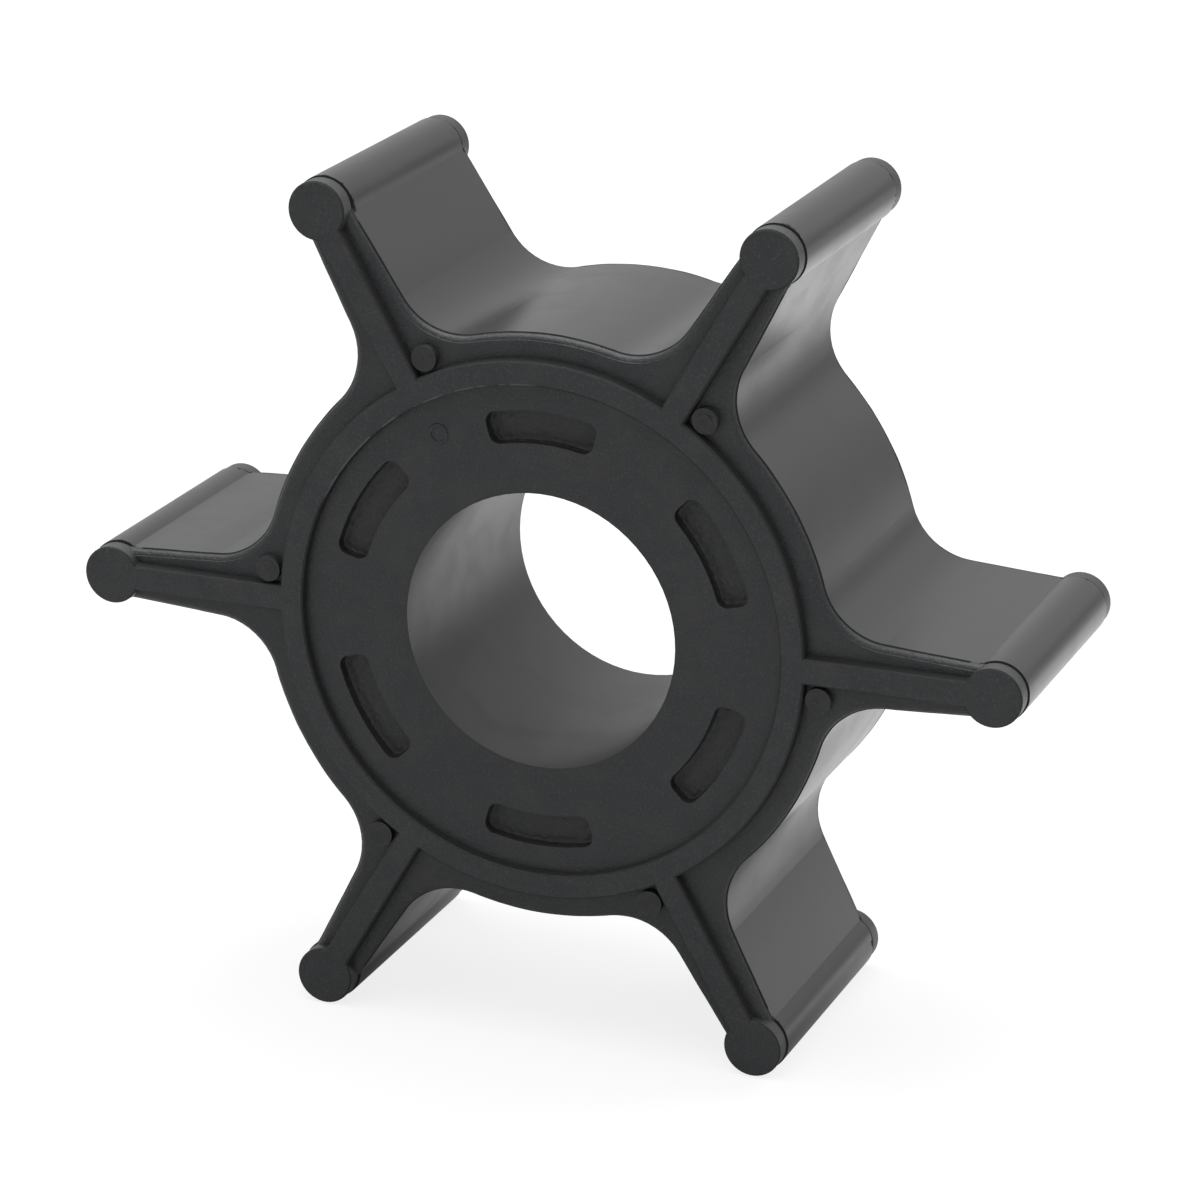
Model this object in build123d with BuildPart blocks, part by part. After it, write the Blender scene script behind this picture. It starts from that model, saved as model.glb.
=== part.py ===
from build123d import *
from math import radians, sqrt, tan
import os

# Rubber impeller of a small water pump, moulded in one piece.
# The origin is the middle of the bore. Y runs along the bore, and the front face looks towards -Y.
# The impeller stands on its two lower vane tips, with +Z up. All sizes are in millimetres.

# Overall form
vane_count = 6
tip_radius = 25.0              # outside of the vane tips
overall_width = 15.7           # along the bore, over the raised rings
bore_radius = 7.15
hub_radius = 15.2              # outside of the hub between two vanes

# Vanes
vane_root_thickness = 3.6      # where the flanks would meet the hub circle
vane_neck_thickness = 2.6      # beside the tip bead
root_fillet = 3.5              # sweep of the hub's outline into each flank

# Round bead along each vane's tip, with a plain stub at both ends
bead_radius = 1.56
stub_step = 0.06               # the stub is this much smaller in radius than the bead
stub_length = 1.07
groove_depth = 0.12            # fine V groove between the stub and the bead
groove_width = 0.16

# Raised ring and ribs on both end faces, with a lower land around them
ring_inner_radius = 12.73
ring_outer_radius = 13.94
rib_width = 1.3
land_depth = 0.55              # from the top of the ring down to the land
land_bevel = 0.34              # takes the sharp edge off the land all round the outline
wall_draft = 6.0               # degrees
rim_bevel = 0.08

# Dished disc inside the ring, with a curved pocket between each two vanes
dish_depth = 0.45
pocket_radius = 10.53          # middle of the pocket
pocket_width = 1.66
pocket_angle = 31.0            # degrees
pocket_depth = 0.6
pocket_corner = 0.55

# Round pads on the front face only, in the corner between each rib and the ring
pad_radius = 0.65
pad_height = 0.42
pad_gap = 0.15                 # clear of the ring and of the rib

half_width = overall_width / 2
land_level = half_width - land_depth
dish_level = half_width - dish_depth
bead_level = half_width - stub_length
bead_place = tip_radius - bead_radius
vane_taper = (vane_root_thickness - vane_neck_thickness) / (bead_place - hub_radius)
vane_base_thickness = vane_root_thickness + vane_taper * hub_radius    # carried on to the axis
stub_radius = bead_radius - stub_step
groove_radius = stub_radius - groove_depth
draft_run = land_depth * tan(radians(wall_draft))
ring_middle_radius = (ring_inner_radius + ring_outer_radius) / 2
pad_side = rib_width / 2 + pad_gap + pad_radius
pad_out = sqrt((ring_outer_radius + pad_gap + pad_radius) ** 2 - pad_side ** 2)
half_pitch = 180 / vane_count

front = Plane.XZ
back = -Plane.XZ

# The bead that ends a vane, turned about its own length
with BuildPart() as tip_bead:
    with BuildSketch(Plane.XZ):
        with BuildLine():
            Polyline(
                (0, 0),
                (bead_radius, 0),
                (bead_radius, bead_level),
                (groove_radius, bead_level + groove_width / 2),
                (stub_radius, bead_level + groove_width),
                (stub_radius, half_width),
                (0, half_width),
                close=True,
            )
        make_face()
    revolve(axis=Axis.Z)
    mirror(about=Plane.XY)

# One curved pocket, drawn on the sketch's X axis
with BuildSketch() as pocket:
    with BuildLine():
        inner = CenterArc((0, 0), pocket_radius - pocket_width / 2, -pocket_angle / 2, pocket_angle)
        outer = CenterArc((0, 0), pocket_radius + pocket_width / 2, -pocket_angle / 2, pocket_angle)
        Line(inner @ 0, outer @ 0)
        Line(inner @ 1, outer @ 1)
    make_face()
    fillet(pocket.vertices(), pocket_corner)

with BuildPart(front) as impeller:
    # Hub and vanes up to the land, with the sharp outer edges taken off
    with BuildSketch(front) as outline:
        Circle(hub_radius)
        with PolarLocations(0, vane_count):
            Polygon(
                (0, -vane_base_thickness / 2),
                (bead_place, -vane_neck_thickness / 2),
                (bead_place, vane_neck_thickness / 2),
                (0, vane_base_thickness / 2),
                align=None,
            )
        corners = outline.vertices().group_by(lambda v: v.center().length)[0]
        fillet(corners, root_fillet)
    extrude(amount=land_level, both=True)
    chamfer(impeller.faces().filter_by(Axis.Y).edges(), land_bevel)

    # Floor of the dish on both faces
    with BuildSketch(front):
        Circle(ring_middle_radius)
    extrude(amount=dish_level, both=True)

    # Raised ring with a rib out along every vane, drafted like the mould
    for face in (front, back):
        with BuildSketch(face.offset(land_level)):
            Circle(ring_outer_radius + draft_run)
            with PolarLocations(bead_place / 2, vane_count):
                Rectangle(bead_place, rib_width + 2 * draft_run)
            Circle(ring_inner_radius - draft_run, mode=Mode.SUBTRACT)
        extrude(amount=land_depth, taper=wall_draft)

    # Beads at the vane tips
    with PolarLocations(bead_place, vane_count):
        add(tip_bead.part)

    # The same on the rims of the raised pattern
    end_faces = impeller.faces().filter_by(Axis.Y).group_by(Axis.Y)
    for raised in (end_faces[0], end_faces[-1]):
        chamfer(raised.edges(), rim_bevel)

    # Pockets in both dishes
    for face in (front, back):
        with BuildSketch(face.offset(dish_level)):
            with PolarLocations(0, vane_count, start_angle=half_pitch):
                add(pocket.sketch)
        extrude(amount=-pocket_depth, mode=Mode.SUBTRACT)

    # Pads on the front
    with BuildSketch(front.offset(land_level)):
        with PolarLocations(0, vane_count):
            with Locations((pad_out, -pad_side)):
                Circle(pad_radius)
    extrude(amount=pad_height)

    # Bore, right through
    with BuildSketch(front):
        Circle(bore_radius)
    extrude(amount=half_width, both=True, mode=Mode.SUBTRACT)

impeller.part.label = "impeller"

os.makedirs("parts", exist_ok=True)
export_step(impeller.part, "parts/impeller.step")
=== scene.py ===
from math import atan2, cos, hypot, pi, radians, sin

import bpy
import numpy as np
from mathutils import Matrix, Vector


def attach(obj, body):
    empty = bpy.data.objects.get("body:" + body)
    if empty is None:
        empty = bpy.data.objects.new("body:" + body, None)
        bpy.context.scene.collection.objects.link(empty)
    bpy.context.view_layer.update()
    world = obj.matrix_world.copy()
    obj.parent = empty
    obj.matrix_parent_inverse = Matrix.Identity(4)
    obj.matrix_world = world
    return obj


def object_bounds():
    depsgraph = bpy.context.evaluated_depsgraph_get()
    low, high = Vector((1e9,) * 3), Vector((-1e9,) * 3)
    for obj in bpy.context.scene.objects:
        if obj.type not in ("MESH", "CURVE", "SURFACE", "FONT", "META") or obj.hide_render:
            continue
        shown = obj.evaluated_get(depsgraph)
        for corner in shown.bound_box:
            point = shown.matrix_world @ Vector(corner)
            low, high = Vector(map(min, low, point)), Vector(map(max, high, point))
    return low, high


# Looks of the rubber pump impeller. Metres, in the frame of the part: the bore lies along Y,
# the front face looks towards -Y, and +Z is up. mm turns millimetres into metres.
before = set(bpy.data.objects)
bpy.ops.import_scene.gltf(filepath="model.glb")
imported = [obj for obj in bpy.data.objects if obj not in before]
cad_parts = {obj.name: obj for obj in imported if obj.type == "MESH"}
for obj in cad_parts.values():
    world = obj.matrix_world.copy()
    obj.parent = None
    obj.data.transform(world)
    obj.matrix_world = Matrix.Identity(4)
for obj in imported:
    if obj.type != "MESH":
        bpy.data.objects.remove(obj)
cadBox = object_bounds()
print("frame loaded, box", [round(v * 1000, 2) for v in cadBox[1] - cadBox[0]], "mm")

mm = 0.001
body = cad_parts["impeller"]
scene = bpy.context.scene


# Shader helpers. A value is another node's socket or a plain number or colour.

def addNode(tree, kind, place, **settings):
    node = tree.nodes.new(kind)
    node.location = place
    for name, value in settings.items():
        setattr(node, name, value)
    return node


def setInputs(node, values):
    for name, value in values.items():
        node.inputs[name].default_value = value


def feed(tree, value, socket):
    if isinstance(value, bpy.types.NodeSocket):
        tree.links.new(value, socket)
    else:
        socket.default_value = value


def maths(tree, operation, place, first, second=0.0):
    node = addNode(tree, "ShaderNodeMath", place, operation=operation)
    feed(tree, first, node.inputs[0])
    feed(tree, second, node.inputs[1])
    return node.outputs[0]


def product(tree, place, *masks):
    # all the masks multiplied
    total = masks[0]
    for step, mask in enumerate(masks[1:]):
        total = maths(tree, "MULTIPLY", (place[0] + 150 * step, place[1]), total, mask)
    return total


def ramp(tree, place, value, low, high, start=0.0, stop=1.0):
    # start below low and stop above high, with a smooth step between them
    node = addNode(tree, "ShaderNodeMapRange", place, interpolation_type="SMOOTHSTEP")
    setInputs(node, {"To Min": start, "To Max": stop})
    feed(tree, value, node.inputs["Value"])
    feed(tree, low, node.inputs["From Min"])
    feed(tree, high, node.inputs["From Max"])
    return node.outputs[0]


def between(tree, place, value, rise, fall):
    # 1 from the end of rise to the start of fall, 0 outside both
    up = ramp(tree, place, value, *rise)
    down = ramp(tree, (place[0], place[1] - 250), value, *fall, 1.0, 0.0)
    return product(tree, (place[0] + 200, place[1]), up, down)


def mixValues(tree, place, factor, first, second, kind="FLOAT"):
    node = addNode(tree, "ShaderNodeMix", place, data_type=kind)
    for value, name in ((factor, "Factor"), (first, "A"), (second, "B")):
        feed(tree, value, node.inputs[name])
    return node.outputs["Result"]


def lightPath(tree, place, name):
    return addNode(tree, "ShaderNodeLightPath", place).outputs[name]


# Stage

stageLook = {
    "floorSide": 4.0,              # metres
    "floorAlbedo": 0.86,           # how the floor lights the object
    "shownAlbedo": 0.22,           # the part of the seen floor that takes the shadow
    "shownGlow": 0.82,             # the rest of it, up to white
    "mirroredAlbedo": 0.42,        # reflections show the floor darker
    "mirroredGlow": 0.95,          # but for a bright part behind the object
    "brightPlace": (0.024, 0.068),    # middle of the bright part, metres
    "brightReach": (0.030, 0.120),
    "brightRest": 0.20,            # what is left of it far away
    "brightBehind": (-0.020, 0.030),  # along Y, where it begins
    "worldLight": 0.42,            # soft light from all around
    "backLevel": 1.00,             # how bright each side of the studio is in reflections
    "sideLevel": 0.80,
    "frontLevel": 0.40,
    "cornerLevel": 0.58,           # low on the right
    "backFrom": (0.40, 0.54),      # parts of a direction of length 1: Y where the back begins
    "frontTo": (-0.35, -0.10),     # Y where the front ends
    "cornerBelow": (0.08, 0.30),   # Z
    "cornerPast": (0.15, 0.40),    # X
}


def addMatt(tree, y, albedo, strength):
    # a matt surface that glows as well
    matt = addNode(tree, "ShaderNodeBsdfDiffuse", (0, y))
    light = addNode(tree, "ShaderNodeEmission", (0, y - 150))
    both = addNode(tree, "ShaderNodeAddShader", (200, y))
    feed(tree, albedo, matt.inputs["Color"])
    feed(tree, strength, light.inputs["Strength"])
    tree.links.new(matt.outputs[0], both.inputs[0])
    tree.links.new(light.outputs[0], both.inputs[1])
    return both.outputs[0]


def buildFloor(look):
    # a flat square at the height on which the impeller stands; the camera sees it pale with a soft shadow
    z = cadBox[0].z
    half = look["floorSide"] / 2
    mesh = bpy.data.meshes.new("studioFloor")
    corners = [(-half, -half, z), (half, -half, z), (half, half, z), (-half, half, z)]
    mesh.from_pydata(corners, [], [(0, 1, 2, 3)])
    floor = bpy.data.objects.new("studioFloor", mesh)
    scene.collection.objects.link(floor)
    material = bpy.data.materials.new("paleFloor")
    material.use_nodes = True
    mesh.materials.append(material)
    tree = material.node_tree
    tree.nodes.clear()

    coord = addNode(tree, "ShaderNodeTexCoord", (-1400, -300))
    axes = addNode(tree, "ShaderNodeSeparateXYZ", (-1200, -500))
    reach = addNode(tree, "ShaderNodeVectorMath", (-1200, -300), operation="DISTANCE")
    reach.inputs[1].default_value = (*look["brightPlace"], z)
    tree.links.new(coord.outputs["Object"], axes.inputs[0])
    tree.links.new(coord.outputs["Object"], reach.inputs[0])
    near = ramp(tree, (-1000, -300), reach.outputs["Value"], *look["brightReach"], 1.0, look["brightRest"])
    behind = ramp(tree, (-1000, -550), axes.outputs["Y"], *look["brightBehind"])
    glossy = lightPath(tree, (-800, 0), "Is Glossy Ray")

    albedo = mixValues(tree, (-200, 100), glossy, look["floorAlbedo"], look["mirroredAlbedo"])
    strength = product(tree, (-700, -300), glossy, near, behind, look["mirroredGlow"])
    shown = (look["shownAlbedo"],) * 3 + (1,)
    out = addNode(tree, "ShaderNodeOutputMaterial", (600, 0))
    pick = addNode(tree, "ShaderNodeMixShader", (400, 0))
    tree.links.new(lightPath(tree, (200, 300), "Is Camera Ray"), pick.inputs["Fac"])
    tree.links.new(addMatt(tree, 100, albedo, strength), pick.inputs[1])
    tree.links.new(addMatt(tree, -200, shown, look["shownGlow"]), pick.inputs[2])
    tree.links.new(pick.outputs[0], out.inputs["Surface"])


def buildWorld(look):
    # white to the camera; in reflections it is darker at the sides and in front, and low on the right
    world = bpy.data.worlds.new("studioWorld")
    scene.world = world
    world.use_nodes = True
    tree = world.node_tree
    tree.nodes.clear()
    coord = addNode(tree, "ShaderNodeTexCoord", (-1200, -300))
    axes = addNode(tree, "ShaderNodeSeparateXYZ", (-1000, -300))
    tree.links.new(coord.outputs["Generated"], axes.inputs[0])
    low = ramp(tree, (-800, -100), axes.outputs["Z"], *look["cornerBelow"], 1.0, 0.0)
    right = ramp(tree, (-800, -350), axes.outputs["X"], *look["cornerPast"])
    corner = product(tree, (-600, -100), low, right)
    behind = ramp(tree, (-400, -350), axes.outputs["Y"], *look["backFrom"])
    beside = ramp(tree, (-200, -350), axes.outputs["Y"], *look["frontTo"])
    back = ramp(tree, (-400, -100), corner, 0.0, 1.0, look["backLevel"], look["cornerLevel"])
    level = mixValues(tree, (-200, -100), behind, look["sideLevel"], back)
    level = mixValues(tree, (0, -100), beside, look["frontLevel"], level)

    camera = lightPath(tree, (0, 300), "Is Camera Ray")
    glossy = lightPath(tree, (200, 300), "Is Glossy Ray")
    out = addNode(tree, "ShaderNodeOutputWorld", (800, 0))
    pick = addNode(tree, "ShaderNodeMixShader", (600, 0))
    soft = addNode(tree, "ShaderNodeBackground", (300, 100))
    white = addNode(tree, "ShaderNodeBackground", (300, -100))
    feed(tree, look["worldLight"], soft.inputs["Strength"])
    feed(tree, maths(tree, "MAXIMUM", (150, -200), level, camera), white.inputs["Strength"])
    feed(tree, maths(tree, "MAXIMUM", (400, 300), glossy, camera), pick.inputs["Fac"])
    tree.links.new(soft.outputs[0], pick.inputs[1])
    tree.links.new(white.outputs[0], pick.inputs[2])
    tree.links.new(pick.outputs[0], out.inputs["Surface"])
    print("stage built")


# Lights

lights = {                         # metres and watts; only a mirrored one shows in reflections
    "overheadSoftbox": {
        "place": (-0.10, 0.05, 0.75), "aim": (0, 0, 0), "size": 0.9, "power": 6.0, "mirrored": True},
    "backPanel": {
        "place": (-0.30, 1.10, 0.60), "aim": (0, 0, 0), "size": 1.2, "power": 1.2, "mirrored": False},
    "backgroundLight": {
        "place": (0.40, 0.60, 0.50), "aim": (0.22, 0.35, 0), "size": 0.4, "power": 2.5, "mirrored": False},
    "frontFill": {
        "place": (-0.45, -0.80, 0.45), "aim": (0, 0, 0), "size": 0.8, "power": 1.2, "mirrored": False},
}


def buildLights(rows):
    for name, row in rows.items():
        data = bpy.data.lights.new(name, "AREA")
        data.shape = "SQUARE"
        data.size = row["size"]
        data.energy = row["power"]
        lamp = bpy.data.objects.new(name, data)
        towards = Vector(row["aim"]) - Vector(row["place"])
        lamp.location = row["place"]
        lamp.rotation_euler = towards.to_track_quat("-Z", "Y").to_euler()
        lamp.visible_glossy = row["mirrored"]
        scene.collection.objects.link(lamp)
    print("lights built:", len(rows))


# Camera

cameraLook = {
    "azimuth": 21.30,              # degrees from -Y towards +X
    "elevation": 19.05,
    "distance": 233.97,            # millimetres
    "target": (0.339, -0.095, -0.606),    # millimetres
    "roll": 0.543,                 # degrees
    "lens": 138.04,                # millimetres on the sensor
    "sensor": 36.0,
    "nearest": 0.01,               # metres, where its view begins
}


def buildCamera(look):
    target = Vector(look["target"]) * mm
    azimuth = radians(look["azimuth"])
    elevation = radians(look["elevation"])
    away = Vector((sin(azimuth) * cos(elevation), -cos(azimuth) * cos(elevation), sin(elevation)))
    data = bpy.data.cameras.new("photoCamera")
    data.lens = look["lens"]
    data.sensor_width = look["sensor"]
    data.clip_start = look["nearest"]
    camera = bpy.data.objects.new("photoCamera", data)
    turn = (-away).to_track_quat("-Z", "Y").to_matrix().to_4x4()
    turn = turn @ Matrix.Rotation(radians(look["roll"]), 4, "Z")
    camera.matrix_world = Matrix.Translation(target + away * look["distance"] * mm) @ turn
    scene.collection.objects.link(camera)
    scene.camera = camera
    print("camera built")


# Shapes as numpy grids

sizes = {                          # millimetres, as the solid has them
    "vanes": 6,
    "hubRadius": 15.2,
    "rootThickness": 3.6,
    "neckThickness": 2.6,
    "rootFillet": 3.5,
    "beadPlace": 23.44,
    "stubLength": 1.07,
    "halfWidth": 7.85,
    "landDepth": 0.55,
    "dishDepth": 0.45,
    "boreRadius": 7.15,
    "ringInner": 12.73,
    "pocketRadius": 10.53,
    "pocketWidth": 1.66,
    "pocketAngle": 31.0,           # degrees
    "pocketDepth": 0.6,
    "pocketCorner": 0.55,
    "padHeight": 0.42,
    "padPlace": (14.67, -1.45),    # along the vane and to its side
}
landLevel = sizes["halfWidth"] - sizes["landDepth"]
dishLevel = sizes["halfWidth"] - sizes["dishDepth"]
beadLevel = sizes["halfWidth"] - sizes["stubLength"]
vaneStep = 360 / sizes["vanes"]    # degrees


def turned(points, degrees):
    # (x, z) points turned about the bore
    a = radians(degrees)
    x = points[..., 0] * cos(a) - points[..., 1] * sin(a)
    z = points[..., 0] * sin(a) + points[..., 1] * cos(a)
    return np.stack([x, z], axis=-1)


def polar(radius, angle):
    # radius times (cos, sin) of the angle
    return np.stack([radius * np.cos(angle), radius * np.sin(angle)], axis=-1)


def atLevel(flat, level):
    # (x, z) points set at a distance along the bore; a negative level is on the front
    return np.stack([flat[..., 0], level, flat[..., 1]], axis=-1)


def gridFaces(rows, columns, closedRows=False, closedColumns=False, start=0):
    # quads of a grid whose points are numbered row by row
    i = np.arange(rows if closedRows else rows - 1)[:, None]
    j = np.arange(columns if closedColumns else columns - 1)[None, :]
    below = (i + 1) % rows
    beside = (j + 1) % columns
    quads = [i * columns + j, below * columns + j, below * columns + beside, i * columns + beside]
    return np.stack(quads, axis=-1).reshape(-1, 4) + start


def smoothNoise(rng, shape, passes):
    # random heights, averaged with their neighbours a few times and scaled to a spread of 1
    field = rng.normal(size=shape)
    for _ in range(passes):
        field = (field + np.roll(field, 1, 0) + np.roll(field, -1, 0)) / 3
        field = (field + np.roll(field, 1, 1) + np.roll(field, -1, 1)) / 3
    return field / field.std()


def waves(rng, along, longest, count):
    # a sum of sines over a length, each half as long and half as high as the last
    total = np.zeros_like(along)
    for step in range(count):
        total += np.sin(2 * pi * along * 2 ** step / longest + rng.uniform(0, 2 * pi)) / 2 ** step
    return total


def makePiece(name, points, faces, material):
    # points in millimetres; the faces already look outwards
    mesh = bpy.data.meshes.new(name)
    mesh.from_pydata((points * mm).tolist(), [], faces)
    mesh.polygons.foreach_set("use_smooth", np.full(len(mesh.polygons), True))
    mesh.materials.append(material)
    mesh.update()
    piece = bpy.data.objects.new(name, mesh)
    scene.collection.objects.link(piece)
    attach(piece, "root")
    print(name + ":", len(mesh.polygons), "faces")
    return piece


# Rubber

rubberLook = {                     # lengths in millimetres
    "ior": 1.62,
    "flankTone": (0.0165, 0.0169, 0.0174, 1),
    "faceTone": (0.0165, 0.0183, 0.0202, 1),
    "cloudTone": (0.0235, 0.0245, 0.0260, 1),    # paler clouds in the surface
    "speckTone": (0.036, 0.039, 0.042, 1),       # fine pale specks on the end faces
    "paintedHighlightTone": (0.070, 0.073, 0.077, 1),        # painted highlight on a stretch of the ring's inner edge
    "paintedShadeTone": (0.0060, 0.0062, 0.0066, 1),     # painted shade on the small upright walls, rims and grooves, and on steep parts of the coarse pieces
    "stubTone": (0.034, 0.035, 0.037, 1),        # paler sides of the stubs, in patches
    "flankRoughness": 0.31,
    "faceRoughness": 0.46,
    "boreRoughness": 0.42,
    "wallRoughness": 0.95,
    "rootRoughness": 0.05,         # added along the fillets, where the mould is less polished
    "drift": 0.05,                 # added in the clouds
    "rimShare": 0.55,              # the small rims partly take the walls' dull roughness and painted shade
    "padShare": 0.55,              # and so do the pads' sides
    "cloudSize": 3.2,              # on the flanks; the end faces have it half as large
    "grainSize": 0.20,
    "pits": 0.5,
    "faceGrain": 0.027,            # depth
    "flankGrain": 0.002,
    "rippleSize": 5.0,             # soft unevenness of the flanks, drawn out along the bore
    "rippleDepth": 0.0015,
    "rippleStretch": (1, 0.3, 1),
    "grooveSize": 1.3,             # patches of painted shade in the groove beside the stubs
    "grooveWaver": 0.32,           # how much wider it gets in them
    "groovePatches": (0.48, 0.72),
    "highlightAngle": 122.0,            # degrees, middle of the painted highlight on the ring's inner edge
    "highlightReach": 31.0,             # degrees to each side
    "highlightFade": 2.5,               # degrees, half of the soft end
    "wallFacing": (0.30, 0.50),    # how much of the normal lies along the bore: a wall has less
    "bevelStart": (0.50, 0.60),
    "bevelEnd": (0.85, 0.95),
    "highlightPatches": (0.02, 0.35, 0.15, 1.0),      # clouds from and to, and the mask there
    "stubPatches": (0.10, 0.55, 0.25, 1.0),      # grain from and to, and the mask there
    "coarsePits": 0.4,
    "coarseWalls": (0.55, 0.90),
    "coarseDryness": (0.2, 0.8, 0.5, 0.7),       # grain from and to, and the roughness there
}

maskPlaces = {                     # millimetres: where each mask begins and where it is full
    "endFace": (landLevel - 0.42, landLevel - 0.28),       # from the middle of the width
    "jointLow": (landLevel - 0.40, landLevel - 0.38),
    "jointHigh": (landLevel - 0.315, landLevel - 0.265),
    "raised": (landLevel + 0.01, landLevel + 0.03),
    "rim": (sizes["halfWidth"] - 0.13, sizes["halfWidth"] - 0.09),
    "grooveLow": (beadLevel - 0.02, beadLevel + 0.02),
    "grooveHigh": (beadLevel + 0.15, beadLevel + 0.18),
    "bore": (sizes["boreRadius"] + 0.10, sizes["boreRadius"] + 0.20),    # from the axis
    "pastBore": (8.0, 9.0),
    "dish": (11.9, 12.0),
    "ringStart": (sizes["ringInner"] - 0.23, sizes["ringInner"] - 0.13),
    "ringEnd": (sizes["ringInner"] + 0.17, sizes["ringInner"] + 0.22),
    "rootStart": (sizes["hubRadius"] + 0.1, sizes["hubRadius"] + 1.4),
    "rootEnd": (18.0, 20.5),
    "stub": (22.05, 22.15),
    "bead": (22.5, 22.6),
    "pad": (0.70, 0.76),           # from the pad's middle
}


def newGroup(name, inputs, outputs):
    tree = bpy.data.node_groups.new(name, "ShaderNodeTree")
    for label, kind in inputs:
        tree.interface.new_socket(name=label, in_out="INPUT", socket_type=kind)
    for label, kind in outputs:
        tree.interface.new_socket(name=label, in_out="OUTPUT", socket_type=kind)
    return tree, addNode(tree, "NodeGroupInput", (-900, 0)), addNode(tree, "NodeGroupOutput", (700, 0))


def mouldGrainGroup():
    # fine grain that the mould leaves: soft lumps with small pits among them, and finer specks
    tree, given, put = newGroup(
        "mouldGrain",
        [("Vector", "NodeSocketVector"), ("Per Metre", "NodeSocketFloat"), ("Pits", "NodeSocketFloat")],
        [("Height", "NodeSocketFloat"), ("Speck", "NodeSocketFloat")],
    )
    perMetre = given.outputs["Per Metre"]
    fineness = 1.7                 # of the specks, against the lumps
    finer = maths(tree, "MULTIPLY", (-700, -450), perMetre, fineness)
    lumps = addNode(tree, "ShaderNodeTexNoise", (-500, 200))
    setInputs(lumps, {"Detail": 3.0, "Roughness": 0.6})
    cells = addNode(tree, "ShaderNodeTexVoronoi", (-500, -150))
    pit = addNode(tree, "ShaderNodeMapRange", (-250, -150))
    setInputs(pit, {"From Min": 0.05, "From Max": 0.30, "To Min": 1.0, "To Max": 0.0})
    specks = addNode(tree, "ShaderNodeTexNoise", (-500, -450))
    setInputs(specks, {"Detail": 1.0, "Roughness": 0.5})
    bright = addNode(tree, "ShaderNodeMapRange", (-250, -450))
    setInputs(bright, {"From Min": 0.54, "From Max": 0.74})
    for node, scale in ((lumps, perMetre), (cells, perMetre), (specks, finer)):
        tree.links.new(given.outputs["Vector"], node.inputs["Vector"])
        tree.links.new(scale, node.inputs["Scale"])
    tree.links.new(cells.outputs["Distance"], pit.inputs["Value"])
    tree.links.new(specks.outputs[0], bright.inputs["Value"])
    deep = product(tree, (-50, -150), pit.outputs[0], given.outputs["Pits"])
    height = maths(tree, "SUBTRACT", (200, 0), lumps.outputs[0], deep)
    tree.links.new(height, put.inputs["Height"])
    tree.links.new(bright.outputs[0], put.inputs["Speck"])
    return tree


def cloudyToneGroup():
    # two colours mixed by large soft clouds with finer ones over them
    tree, given, put = newGroup(
        "cloudyTone",
        [("Vector", "NodeSocketVector"), ("Per Metre", "NodeSocketFloat"),
         ("Ground", "NodeSocketColor"), ("Cloud", "NodeSocketColor")],
        [("Color", "NodeSocketColor"), ("Mask", "NodeSocketFloat")],
    )
    clouds = addNode(tree, "ShaderNodeTexNoise", (-500, 100))
    setInputs(clouds, {"Detail": 5.0, "Roughness": 0.62, "Distortion": 0.4})
    tree.links.new(given.outputs["Vector"], clouds.inputs["Vector"])
    tree.links.new(given.outputs["Per Metre"], clouds.inputs["Scale"])
    mask = ramp(tree, (-200, 100), clouds.outputs[0], 0.38, 0.72)
    tone = mixValues(tree, (200, 0), mask, given.outputs["Ground"], given.outputs["Cloud"], "RGBA")
    tree.links.new(tone, put.inputs["Color"])
    tree.links.new(mask, put.inputs["Mask"])
    return tree


def steepnessGroup():
    # how much of the surface's normal lies along the bore, and a mask of the walls, where little of it does
    tree, given, put = newGroup(
        "steepness",
        [("Normal", "NodeSocketVector"),
         ("Wall Below", "NodeSocketFloat"), ("Flat Above", "NodeSocketFloat")],
        [("Facing", "NodeSocketFloat"), ("Wall", "NodeSocketFloat")],
    )
    axes = addNode(tree, "ShaderNodeSeparateXYZ", (-600, 0))
    tree.links.new(given.outputs["Normal"], axes.inputs[0])
    facing = maths(tree, "ABSOLUTE", (-400, 0), axes.outputs["Y"])
    wall = ramp(tree, (0, 0), facing, given.outputs["Wall Below"], given.outputs["Flat Above"], 1.0, 0.0)
    tree.links.new(facing, put.inputs["Facing"])
    tree.links.new(wall, put.inputs["Wall"])
    return tree


def useGroup(tree, group, place, values, **linked):
    # values are set by socket name; the rest are links, named like their sockets in small letters
    node = addNode(tree, "ShaderNodeGroup", place, node_tree=group)
    setInputs(node, values)
    for name, value in linked.items():
        tree.links.new(value, node.inputs[name.capitalize()])
    return node


def newRubber(name, look):
    material = bpy.data.materials.new(name)
    material.use_nodes = True
    tree = material.node_tree
    shader = tree.nodes["Principled BSDF"]
    setInputs(shader, {"IOR": look["ior"]})
    coord = addNode(tree, "ShaderNodeTexCoord", (-2400, 0))
    return material, tree, shader, coord


def addBump(tree, shader, height, distance):
    # height times distance gives metres
    bump = addNode(tree, "ShaderNodeBump", (0, -300))
    setInputs(bump, {"Strength": 1.0, "Distance": distance})
    tree.links.new(height, bump.inputs["Height"])
    tree.links.new(bump.outputs[0], shader.inputs["Normal"])


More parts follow.
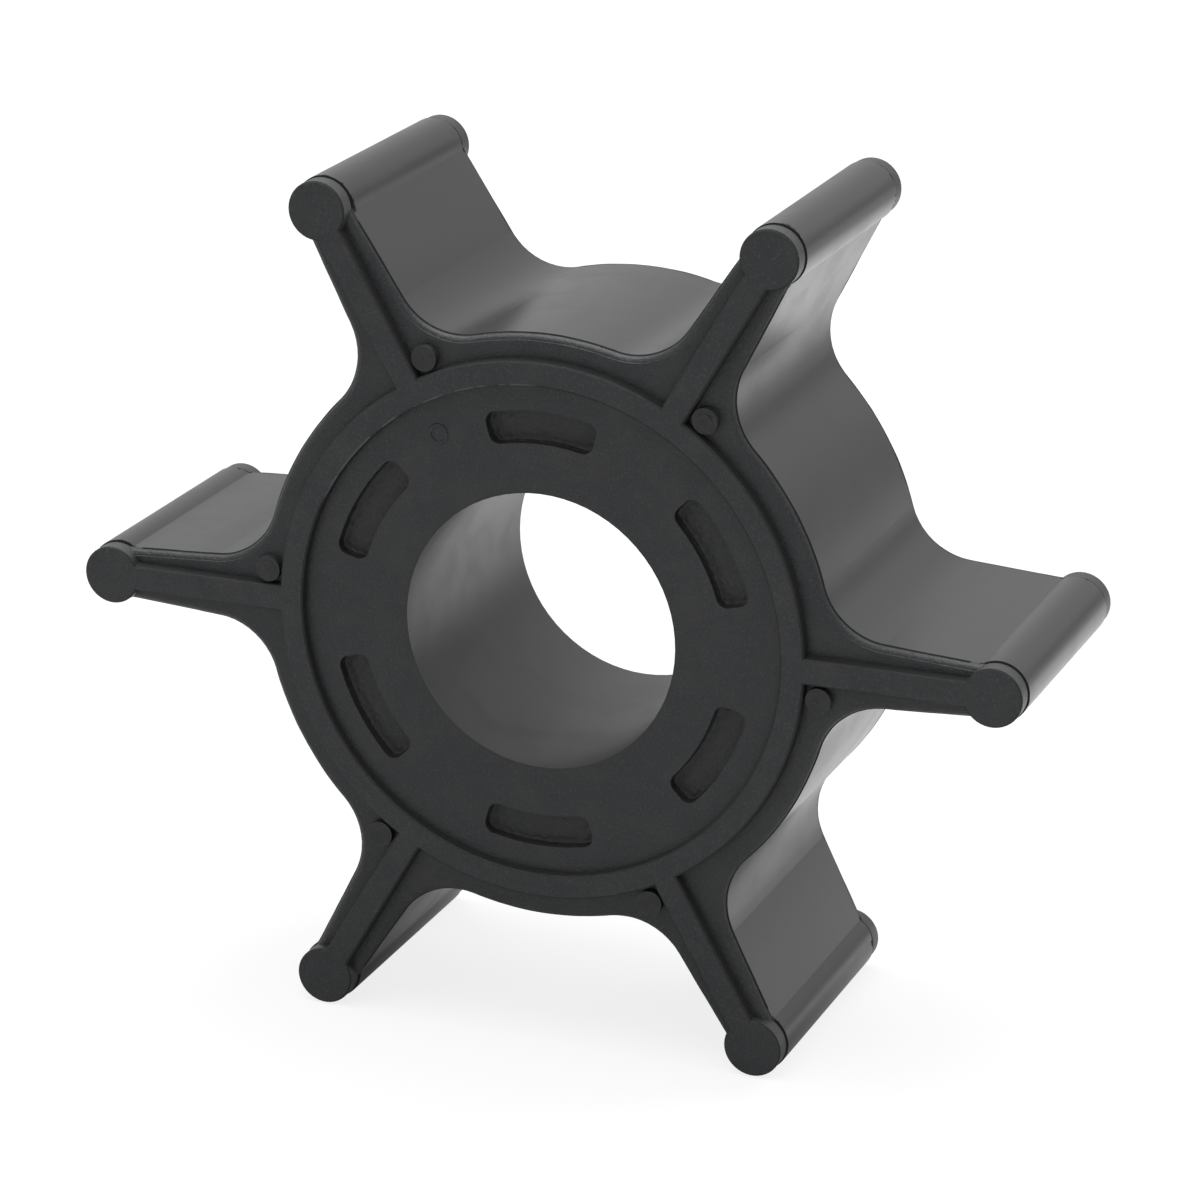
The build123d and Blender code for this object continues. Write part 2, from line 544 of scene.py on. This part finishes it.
def measurePlace(tree, coord):
    # in millimetres: X, Z, both as one vector, the distance from the middle of the width and from the axis
    scaled = addNode(tree, "ShaderNodeVectorMath", (-2200, -300), operation="SCALE")
    scaled.inputs["Scale"].default_value = 1 / mm
    axes = addNode(tree, "ShaderNodeSeparateXYZ", (-2000, -300))
    flat = addNode(tree, "ShaderNodeVectorMath", (-2000, -500), operation="MULTIPLY")
    flat.inputs[1].default_value = (1, 0, 1)
    length = addNode(tree, "ShaderNodeVectorMath", (-1800, -500), operation="LENGTH")
    tree.links.new(coord.outputs["Object"], scaled.inputs[0])
    tree.links.new(scaled.outputs[0], axes.inputs[0])
    tree.links.new(scaled.outputs[0], flat.inputs[0])
    tree.links.new(flat.outputs[0], length.inputs[0])
    return {
        "x": axes.outputs["X"],
        "z": axes.outputs["Z"],
        "flat": flat.outputs[0],
        "level": maths(tree, "ABSOLUTE", (-1800, -300), axes.outputs["Y"]),
        "radius": length.outputs["Value"],
    }


def offPads(tree, at, look):
    # Less than 1 on the pads' sides. The bearing from the nearest vane, less that of its pad, times the
    # radius is the way round to the pad; the radius less the pad's is the way out to it.
    turn = radians(vaneStep)
    out, side = sizes["padPlace"]
    bearing = maths(tree, "ARCTAN2", (-1600, -2100), at["z"], at["x"])
    nearest = maths(tree, "ROUND", (-1200, -2100), maths(tree, "DIVIDE", (-1400, -2100), bearing, turn))
    whole = maths(tree, "MULTIPLY", (-1000, -2100), nearest, turn)
    bearing = maths(tree, "SUBTRACT", (-800, -2100), bearing, whole)
    bearing = maths(tree, "SUBTRACT", (-600, -2100), bearing, atan2(side, out))
    toPad = addNode(tree, "ShaderNodeCombineXYZ", (-200, -2100))
    feed(tree, maths(tree, "SUBTRACT", (-400, -1950), at["radius"], hypot(out, side)), toPad.inputs[0])
    feed(tree, maths(tree, "MULTIPLY", (-400, -2100), bearing, at["radius"]), toPad.inputs[1])
    away = addNode(tree, "ShaderNodeVectorMath", (0, -2100), operation="LENGTH")
    tree.links.new(toPad.outputs[0], away.inputs[0])
    return ramp(tree, (200, -2100), away.outputs["Value"], *maskPlaces["pad"], look["padShare"], 1.0)


def dullAndShadeMask(tree, coord, at, wall, bevel, look):
    # painted shade, and a dull roughness, on the small upright walls of the raised pattern and the pockets,
    # in part on the rims above them, on the joint line below the land's edge, and in the grooves beside the
    # stubs, which are wider in patches
    spot = maskPlaces
    raised = ramp(tree, (-1600, -300), at["level"], *spot["raised"])
    inDish = ramp(tree, (-1600, -550), at["radius"], *spot["dish"], 1.0, 0.0)
    pastBore = ramp(tree, (-1400, -550), at["radius"], *spot["pastBore"])
    beforeStub = ramp(tree, (-1400, -800), at["radius"], *spot["stub"], 1.0, 0.0)
    small = maths(tree, "MAXIMUM", (-1400, -300), raised, inDish)
    walls = product(tree, (-1200, -300), wall, small, pastBore, beforeStub, offPads(tree, at, look))
    rims = product(tree, (-1200, -500), bevel, ramp(
        tree, (-1600, -800), at["level"], *spot["rim"], 0.0, look["rimShare"]))
    joint = between(tree, (-1400, -50), at["level"], spot["jointLow"], spot["jointHigh"])
    joint = product(tree, (-1000, -50), joint, beforeStub, pastBore)

    patches = addNode(tree, "ShaderNodeTexNoise", (-1600, 300))
    setInputs(patches, {"Scale": 1 / (look["grooveSize"] * mm), "Detail": 3.0, "Roughness": 0.7})
    tree.links.new(coord.outputs["Object"], patches.inputs["Vector"])
    wider = ramp(tree, (-1400, 300), patches.outputs[0], *look["groovePatches"], 0.0, look["grooveWaver"])
    uneven = maths(tree, "ADD", (-1200, 300), at["level"], wider)
    start = ramp(tree, (-1000, 300), uneven, *spot["grooveLow"])
    stop = ramp(tree, (-1000, 550), at["level"], *spot["grooveHigh"], 1.0, 0.0)
    onBead = ramp(tree, (-1000, 800), at["radius"], *spot["bead"])
    groove = product(tree, (-800, 300), start, stop, onBead)

    dullAndShade = walls
    for step, mask in enumerate((rims, joint, groove)):
        dullAndShade = maths(tree, "MAXIMUM", (-700 + 150 * step, -200), dullAndShade, mask)
    return dullAndShade


def paintedHighlightMask(tree, at, bevel, look):
    # a painted highlight on a stretch of the ring's inner rim, to both sides of one direction
    rim = between(tree, (-1400, -1100), at["radius"], maskPlaces["ringStart"], maskPlaces["ringEnd"])
    angle = radians(look["highlightAngle"])
    along = addNode(tree, "ShaderNodeVectorMath", (-1600, -1600), operation="DOT_PRODUCT")
    along.inputs[1].default_value = (cos(angle), 0, sin(angle))
    tree.links.new(at["flat"], along.inputs[0])
    radius = sizes["ringInner"] + 0.04    # middle of the rim's bevel
    fade = look["highlightFade"]
    ends = [radius * cos(radians(look["highlightReach"] + spread)) for spread in (fade, -fade)]
    stretch = ramp(tree, (-1000, -1600), along.outputs["Value"], *ends)
    return product(tree, (-800, -1100), bevel, rim, stretch)


def bodyRubber(look, grainGroup, toneGroup, steepGroup):
    # grainy cooler end faces, smoother flanks with a soft ripple, painted shade on small walls, one painted
    # highlight
    material, tree, shader, coord = newRubber("blackRubber", look)
    place = coord.outputs["Object"]
    at = measurePlace(tree, coord)
    steepness = useGroup(
        tree, steepGroup, (-2000, -900), dict(zip(("Wall Below", "Flat Above"), look["wallFacing"])),
        normal=coord.outputs["Normal"])
    wall = steepness.outputs["Wall"]
    facing = steepness.outputs["Facing"]
    bevel = between(tree, (-1800, -1100), facing, look["bevelStart"], look["bevelEnd"])
    dullAndShade = dullAndShadeMask(tree, coord, at, wall, bevel, look)
    paintedHighlight = paintedHighlightMask(tree, at, bevel, look)
    onTip = ramp(tree, (-1400, 1100), at["radius"], *maskPlaces["stub"])
    pastGroove = ramp(tree, (-1400, 1350), at["level"], *maskPlaces["grooveHigh"])
    stub = product(tree, (-1200, 1100), onTip, wall, pastGroove)
    root = between(tree, (-1400, 1600), at["radius"], maskPlaces["rootStart"], maskPlaces["rootEnd"])
    inBore = ramp(tree, (-1400, 2100), at["radius"], *maskPlaces["bore"], 1.0, 0.0)
    faceMask = ramp(tree, (-1000, 1350), at["level"], *maskPlaces["endFace"])
    faceMask = mixValues(tree, (-800, 1350), inBore, faceMask, 0.0)

    grain = useGroup(
        tree, grainGroup, (-1200, 2400), {"Per Metre": 1 / (look["grainSize"] * mm), "Pits": look["pits"]},
        vector=place)
    flankTone = useGroup(
        tree, toneGroup, (-1200, 2700),
        {"Per Metre": 1 / (look["cloudSize"] * mm), "Ground": look["flankTone"], "Cloud": look["cloudTone"]},
        vector=place)
    faceTone = useGroup(
        tree, toneGroup, (-1200, 3000),
        {"Per Metre": 2 / (look["cloudSize"] * mm), "Ground": look["faceTone"], "Cloud": look["cloudTone"]},
        vector=place)
    paintedHighlight = product(tree, (-400, -900), paintedHighlight, ramp(
        tree, (-600, -1100), faceTone.outputs["Mask"], *look["highlightPatches"]))
    paler = product(tree, (-400, 500), stub, ramp(
        tree, (-600, 600), grain.outputs["Height"], *look["stubPatches"]))
    specks = product(tree, (-600, 100), grain.outputs["Speck"], faceMask)
    flankColour, faceColour = flankTone.outputs["Color"], faceTone.outputs["Color"]
    tone = mixValues(tree, (-600, 300), faceMask, flankColour, faceColour, "RGBA")
    # the walls' dark tone mixed in here is painted shade, and the ring rim's pale stretch is a painted
    # highlight
    for step, (mask, name) in enumerate((
            (specks, "speckTone"), (paler, "stubTone"), (dullAndShade, "paintedShadeTone"), (paintedHighlight, "paintedHighlightTone"))):
        tone = mixValues(tree, (-400 + 150 * step, 300), mask, tone, look[name], "RGBA")
    tree.links.new(tone, shader.inputs["Base Color"])

    roughness = mixValues(tree, (-800, -150), inBore, look["flankRoughness"], look["boreRoughness"])
    roughness = mixValues(tree, (-600, -150), faceMask, roughness, look["faceRoughness"])
    drift = ramp(tree, (-600, 0), flankTone.outputs["Mask"], 0.0, 1.0, 0.0, look["drift"])
    roughness = maths(tree, "ADD", (-400, 0), roughness, drift)
    rootShare = product(tree, (-500, 100), root, look["rootRoughness"])
    roughness = maths(tree, "ADD", (-300, 0), roughness, rootShare)
    roughness = mixValues(tree, (-200, 0), dullAndShade, roughness, look["wallRoughness"])
    tree.links.new(roughness, shader.inputs["Roughness"])

    stretch = addNode(tree, "ShaderNodeMapping", (-1200, 800))
    stretch.inputs["Scale"].default_value = look["rippleStretch"]
    ripple = addNode(tree, "ShaderNodeTexNoise", (-1000, 800))
    setInputs(ripple, {"Scale": 1 / (look["rippleSize"] * mm), "Detail": 1.0, "Roughness": 0.4})
    tree.links.new(place, stretch.inputs["Vector"])
    tree.links.new(stretch.outputs[0], ripple.inputs["Vector"])
    swell = mixValues(tree, (-600, 700), faceMask, look["rippleDepth"] * mm, 0.0)
    depth = mixValues(tree, (-600, 500), faceMask, look["flankGrain"] * mm, look["faceGrain"] * mm)
    fine = product(tree, (-400, 500), grain.outputs["Height"], depth)
    broad = product(tree, (-400, 700), ripple.outputs[0], swell)
    addBump(tree, shader, maths(tree, "ADD", (-200, 600), fine, broad), 1.0)
    return material


coarseLook = {                     # grain's size and depth in millimetres, and how pale the rubber is
    # the pocket floors' ground is painted paler than the end faces: painted light that makes up for the
    # shade in the pockets
    "pocketRubber": {"size": 0.16, "depth": 0.030, "ground": (0.0250, 0.0261, 0.0278, 1)},
    "tornRubber": {"size": 0.12, "depth": 0.020, "ground": (0.0165, 0.0174, 0.0187, 1)},
}


def coarseRubber(name, look, row, grainGroup, toneGroup, steepGroup):
    # the dull, coarse rubber of pocket floors and torn marks; its clouds are a quarter of the flanks' size
    material, tree, shader, coord = newRubber(name, look)
    place = coord.outputs["Object"]
    grain = useGroup(
        tree, grainGroup, (-900, -200), {"Per Metre": 1 / (row["size"] * mm), "Pits": look["coarsePits"]},
        vector=place)
    tone = useGroup(
        tree, toneGroup, (-900, 200),
        {"Per Metre": 4 / (look["cloudSize"] * mm), "Ground": row["ground"], "Cloud": look["cloudTone"]},
        vector=place)
    steepness = useGroup(
        tree, steepGroup, (-900, -500), dict(zip(("Wall Below", "Flat Above"), look["coarseWalls"])),
        normal=coord.outputs["Normal"])
    wall = steepness.outputs["Wall"]
    # painted shade on the steep parts, where the floors turn up to the walls and on the scars' steps
    colour = mixValues(tree, (-500, 200), wall, tone.outputs["Color"], look["paintedShadeTone"], "RGBA")
    dryness = ramp(tree, (-700, 0), grain.outputs["Height"], *look["coarseDryness"])
    roughness = mixValues(tree, (-500, 0), wall, dryness, look["wallRoughness"])
    tree.links.new(colour, shader.inputs["Base Color"])
    tree.links.new(roughness, shader.inputs["Roughness"])
    addBump(tree, shader, grain.outputs["Height"], row["depth"] * mm)
    return material


def dressBody(material):
    body.data.materials.clear()
    body.data.materials.append(material)
    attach(body, "root")
    print("body dressed")


# Rounded edge of the land with the fine ledge that the mould's joint leaves

landEdgeLook = {                   # millimetres
    "reach": 0.50,                 # width of the rounding
    "drop": 0.325,                 # depth of the rounding
    "lift": 0.010,                 # stands this much above the land, so that the two never coincide
    "roundSteps": 11,
    "ledge": 0.055,                # width of the ledge below the rounding
    "proud": 0.008,                # the ledge stands this much past the flank
    "softening": 0.006,            # takes the sharpness off the ledge
    "ledgeDepth": 0.07,            # down its outside
    "foot": (0.02, 0.10),          # in and down, where it turns back inside
    "skirt": 0.62,                 # where the rounding dips into the land
    "unevenness": 0.012,
    "waver": (5.5, 4),             # longest wave of it sideways, and how many
    "droop": (7.5, 4),             # and in height
    "flankSteps": 59,
    "filletSteps": 48,
    "hubSteps": 40,
    "endRadius": 22.95,            # the edge ends inside the tip bead
    "sharpAngle": 40.0,            # degrees
    "seed": 11,
}


def gapOutline(look):
    # One gap, from the vane on +X anticlockwise to the middle of the gap and mirrored: a straight flank,
    # an arc of the root's fillet, which touches flank and hub, and an arc of the hub.
    # Gives points and outward directions.
    taper = (sizes["rootThickness"] - sizes["neckThickness"]) / (sizes["beadPlace"] - sizes["hubRadius"])
    across = np.array([taper / 2, 1.0]) / np.hypot(taper / 2, 1.0)
    along = np.array([across[1], -across[0]])
    flankOut = (sizes["rootThickness"] + taper * sizes["hubRadius"]) / 2 * across[1]
    radius = sizes["rootFillet"]
    centreOut = flankOut + radius
    centre = across * centreOut + along * np.sqrt((sizes["hubRadius"] + radius) ** 2 - centreOut ** 2)
    touch = centre - across * radius
    tip = along * np.sqrt(look["endRadius"] ** 2 - flankOut ** 2) + across * flankOut
    t = np.linspace(0, 1, look["flankSteps"], endpoint=False)[:, None]
    flank = tip + (touch - tip) * t
    first = np.arctan2(-across[1], -across[0])
    last = np.arctan2(-centre[1], -centre[0])
    ray = polar(1, np.linspace(first, last, look["filletSteps"], endpoint=False))
    half = pi / sizes["vanes"]
    spoke = polar(1, np.linspace(np.arctan2(centre[1], centre[0]), half, look["hubSteps"]))
    points = np.concatenate([flank, centre + radius * ray, sizes["hubRadius"] * spoke])
    outward = np.concatenate([np.tile(across, (len(flank), 1)), -ray, spoke])
    middle = np.array([cos(half), sin(half)])

    def mirrored(rows):
        return 2 * (rows @ middle)[:, None] * middle - rows

    return (np.concatenate([points, mirrored(points)[::-1][1:]]),
            np.concatenate([outward, mirrored(outward)[::-1][1:]]))


def landEdgeProfile(look):
    # a quarter of an ellipse from the land down to the ledge, then round the ledge and back inside
    t = np.linspace(0, pi / 2, look["roundSteps"])
    drop, ledge, proud, soft = (look[key] for key in ("drop", "ledge", "proud", "softening"))
    aside = -look["reach"] + (look["reach"] - ledge) * np.sin(t)
    down = look["lift"] - (drop + look["lift"]) * (1 - np.cos(t))
    footIn, footDown = look["foot"]
    return np.concatenate([
        [(-look["skirt"], -soft)],
        np.stack([aside, down], axis=-1),
        [(-ledge + soft, -drop - soft),
         (proud - soft, -drop - 2 * soft),
         (proud, -drop - 3 * soft),
         (proud, -drop - look["ledgeDepth"]),
         (-footIn, -drop - footDown),
         (-look["skirt"], -drop - footDown)],
    ])


def buildLandEdges(look, material):
    # the profile carried along each gap on both faces; its place and height waver a little
    rng = np.random.default_rng(look["seed"])
    path, outward = gapOutline(look)
    profile = landEdgeProfile(look)
    steps = np.hypot(*np.diff(path, axis=0).T)
    along = np.concatenate([[0], np.cumsum(steps)])
    rows, columns = len(path), len(profile)
    edge = np.clip((profile[:, 0] + look["skirt"]) / look["skirt"], 0, 1)
    points, faces = [], []
    for face in (-1, 1):
        for k in range(sizes["vanes"]):
            waver = look["unevenness"] * waves(rng, along, *look["waver"])[:, None]
            droop = look["unevenness"] * waves(rng, along, *look["droop"])[:, None]
            aside = profile[None, :, 0] + 0.5 * waver * edge
            level = landLevel + profile[None, :, 1] - (np.abs(droop) + 0.3 * droop) * edge
            flat = turned(path[:, None, :] + outward[:, None, :] * aside[..., None], vaneStep * k)
            start = len(points) * rows * columns
            quads = gridFaces(rows, columns, closedColumns=True, start=start)
            firstCap = start + np.arange(columns)
            lastCap = start + (rows - 1) * columns + np.arange(columns)[::-1]
            group = quads.tolist() + [firstCap.tolist(), lastCap.tolist()]
            faces += group if face > 0 else [quad[::-1] for quad in group]
            points.append(atLevel(flat, face * level).reshape(-1, 3))
    piece = makePiece("landEdges", np.concatenate(points), faces, material)
    piece.data.set_sharp_from_angle(angle=radians(look["sharpAngle"]))


# Coarse floors of the pockets

pocketLook = {                     # millimetres
    "relief": 0.022,               # height of the lumps
    "fineLumps": 0.6,              # share of the finer ones
    "lift": 1.3,                   # the floor stands up by this many reliefs
    "swing": 0.5,                  # and swings by this many for each spread of the lumps
    "foot": 0.24,                  # radius where the floor turns up to the walls
    "past": 0.03,                  # the floor reaches this far into the walls
    "base": 0.1,                   # and this far below the pocket's floor
    "rows": 38,
    "columns": 116,
    "seed": 5,
}


def roundedGrid(halfLong, halfWide, corner, rows, columns):
    # A grid over a rectangle with rounded corners. Each corner's square is drawn onto a quarter disc
    # by x sqrt(1 - y^2 / 2) and y sqrt(1 - x^2 / 2). Gives both coordinates and the distance to the rim.
    x, y = np.meshgrid(np.linspace(-halfLong, halfLong, columns), np.linspace(-halfWide, halfWide, rows))
    innerX, innerY = halfLong - corner, halfWide - corner
    u = np.clip(np.abs(x) - innerX, 0, None) / corner
    v = np.clip(np.abs(y) - innerY, 0, None) / corner
    inCorner = (u > 0) & (v > 0)
    newU, newV = u * np.sqrt(1 - v ** 2 / 2), v * np.sqrt(1 - u ** 2 / 2)
    x = np.where(inCorner, np.sign(x) * (innerX + corner * newU), x)
    y = np.where(inCorner, np.sign(y) * (innerY + corner * newV), y)
    beyond = np.hypot(np.clip(np.abs(x) - innerX, 0, None), np.clip(np.abs(y) - innerY, 0, None))
    inside = np.minimum(np.maximum(np.abs(x) - innerX, np.abs(y) - innerY), 0)
    return x, y, np.clip(corner - beyond - inside, 0, None)


def gridRim(rows, columns):
    # numbers of the grid's outer points: first row, last column, last row backwards, first column back up
    return np.concatenate([
        np.arange(columns),
        np.arange(1, rows) * columns + columns - 1,
        (rows - 1) * columns + np.arange(columns - 1)[::-1],
        np.arange(1, rows - 1)[::-1] * columns,
    ])


def buildPocketFloors(look, material):
    # Each floor is a rounded grid bent round the bore. Its height is smoothed noise over finer noise, plus
    # a quarter circle where it turns up to the walls; a ring of points below its rim and one base close it.
    rng = np.random.default_rng(look["seed"])
    rows, columns = look["rows"], look["columns"]
    halfLong = sizes["pocketRadius"] * radians(sizes["pocketAngle"] / 2) + look["past"]
    halfWide = sizes["pocketWidth"] / 2 + look["past"]
    along, out, toRim = roundedGrid(halfLong, halfWide, sizes["pocketCorner"], rows, columns)
    bent = polar(sizes["pocketRadius"] + out, along / sizes["pocketRadius"])
    near = np.clip(1 - toRim / look["foot"], 0, 1)
    foot = look["foot"] * (1 - np.sqrt(1 - near ** 2))
    floor = dishLevel - sizes["pocketDepth"]
    rim = gridRim(rows, columns)
    nextRim = np.roll(rim, -1)
    under = rows * columns + np.arange(len(rim))
    nextUnder = np.roll(under, -1)
    skirt = np.stack([rim, nextRim, nextUnder, under], axis=-1)
    quads = np.concatenate([gridFaces(rows, columns), skirt])
    points, faces = [], []
    count = 0
    for face in (-1, 1):
        for k in range(sizes["vanes"]):
            lumps = smoothNoise(rng, (rows, columns), 3)
            lumps += look["fineLumps"] * smoothNoise(rng, (rows, columns), 1)
            height = look["relief"] * (look["lift"] + look["swing"] * np.clip(lumps, -2, 2)) + foot
            flat = turned(bent, vaneStep * (k + 0.5))
            top = atLevel(flat, face * (floor + height)).reshape(-1, 3)
            base = top[rim].copy()
            base[:, 1] = face * (floor - look["base"])
            group = (quads + count).tolist() + [(under + count).tolist()]
            faces += group if face < 0 else [quad[::-1] for quad in group]
            points += [top, base]
            count += len(top) + len(base)
    makePiece("pocketFloors", np.concatenate(points), faces, material)


# Marks on the front: a torn feed scar on each pad, and a plain ring mark in the dish

scarLook = {                       # millimetres
    "radius": 0.60,
    "outlineWaver": 0.03,          # share of the radius
    "relief": 0.075,
    "roughShare": 0.10,            # of the relief, for the noise over the plate
    "plate": 0.66,                 # share of the radius at which the torn plate ends
    "plateWaver": 0.08,
    "plateEdge": 0.025,            # softness of that end, as a share of the radius
    "lipAngle": 55.0,              # degrees, where the plate stands up most
    "lipSpread": 0.3,              # radians
    "highest": 0.115,              # clear of the ring's top
    "lift": 0.004,                 # above the pad
    "dip": 0.05,                   # the last ring lies this far inside the pad
    "rings": 26,
    "spokes": 64,
    "seed": 23,
    "torn": (0.25, 1.4, 0.5, 0.7, 0.2, 0.4),     # how torn each pad is, anticlockwise from the vane on +X
}


def buildPadScars(look, material):
    # Each scar is a disc of rings and spokes. Its height is a plate tilted towards the lip, which ends in a
    # soft step, with smoothed noise over it. It falls to nothing at the rim, and the last ring lies inside
    # the pad.
    rng = np.random.default_rng(look["seed"])
    rings, spokes = look["rings"], look["spokes"]
    share = np.linspace(0, 1, rings)[:, None]
    angle = np.linspace(0, 2 * pi, spokes, endpoint=False)[None, :]
    around = angle / (2 * pi)
    top = landLevel + sizes["padHeight"]
    spoke = np.arange(spokes)
    nextSpoke = np.roll(spoke, -1)
    points, faces = [], []
    count = 0
    for k, torn in enumerate(look["torn"]):
        outline = look["radius"] * (1 + look["outlineWaver"] * waves(rng, around, 1.0, 4))
        lip = radians(look["lipAngle"] - vaneStep * k) + rng.uniform(-look["lipSpread"], look["lipSpread"])
        edge = look["plate"] * (1 + look["plateWaver"] * waves(rng, around, 1.0, 4))
        plate = (0.5 + 0.5 * np.cos(angle - lip)) / (1 + np.exp((share - edge) / look["plateEdge"]))
        rough = look["roughShare"] * np.abs(smoothNoise(rng, (rings, spokes), 2))
        height = np.minimum(look["relief"] * (torn * plate + rough), look["highest"])
        height = height * (1 - share ** 6) + look["lift"]
        height[-1] = -look["dip"]
        height[0] = height[0].mean()
        flat = turned(polar(share * outline, angle) + np.array(sizes["padPlace"]), vaneStep * k)
        block = atLevel(flat, -(top + height))
        points += [block[0].mean(axis=0)[None], block[1:].reshape(-1, 3)]
        first = count + 1
        last = first + (rings - 2) * spokes
        fan = np.stack([np.full(spokes, count), first + spoke, first + nextSpoke], axis=-1)
        quads = gridFaces(rings - 1, spokes, closedColumns=True, start=first)
        faces += fan.tolist() + quads.tolist() + [(last + spoke[::-1]).tolist()]
        count += 1 + (rings - 1) * spokes
    makePiece("padScars", np.concatenate(points), faces, material)


markLook = {                       # millimetres
    "place": (11.0, 119.5),        # radius, and angle in degrees
    "radius": 0.45,
    "waver": 0.03,                 # share of the radius
    "line": 0.09,                  # half of the line's width
    "height": 0.07,
    "heightWaver": 0.15,           # share of the height
    "rows": 72,
    "columns": 14,
    "seed": 3,
}


def buildMouldMark(look, material):
    # a low ring: a flattened circle carried round a slightly uneven circle, half of it inside the dish
    rng = np.random.default_rng(look["seed"])
    around = np.linspace(0, 2 * pi, look["rows"], endpoint=False)[:, None]
    across = np.linspace(0, 2 * pi, look["columns"], endpoint=False)[None, :]
    share = around / (2 * pi)
    radius = look["radius"] * (1 + look["waver"] * waves(rng, share, 1.0, 3))
    radius = radius + look["line"] * np.cos(across)
    height = look["height"] * np.sin(across) * (1 + look["heightWaver"] * waves(rng, share, 0.5, 3))
    out, turn = look["place"]
    flat = turned(polar(radius, around) + np.array([out, 0.0]), turn)
    points = atLevel(flat, -(dishLevel + height)).reshape(-1, 3)
    faces = gridFaces(look["rows"], look["columns"], True, True).tolist()
    makePiece("mouldMark", points, faces, material)


buildFloor(stageLook)
buildWorld(stageLook)
buildLights(lights)
buildCamera(cameraLook)
groups = mouldGrainGroup(), cloudyToneGroup(), steepnessGroup()
blackRubber = bodyRubber(rubberLook, *groups)
coarse = {name: coarseRubber(name, rubberLook, row, *groups) for name, row in coarseLook.items()}
print("rubber built:", 1 + len(coarse), "materials")
dressBody(blackRubber)
buildLandEdges(landEdgeLook, blackRubber)
buildPocketFloors(pocketLook, coarse["pocketRubber"])
buildPadScars(scarLook, coarse["tornRubber"])
buildMouldMark(markLook, blackRubber)

scene.view_settings.view_transform = "Standard"
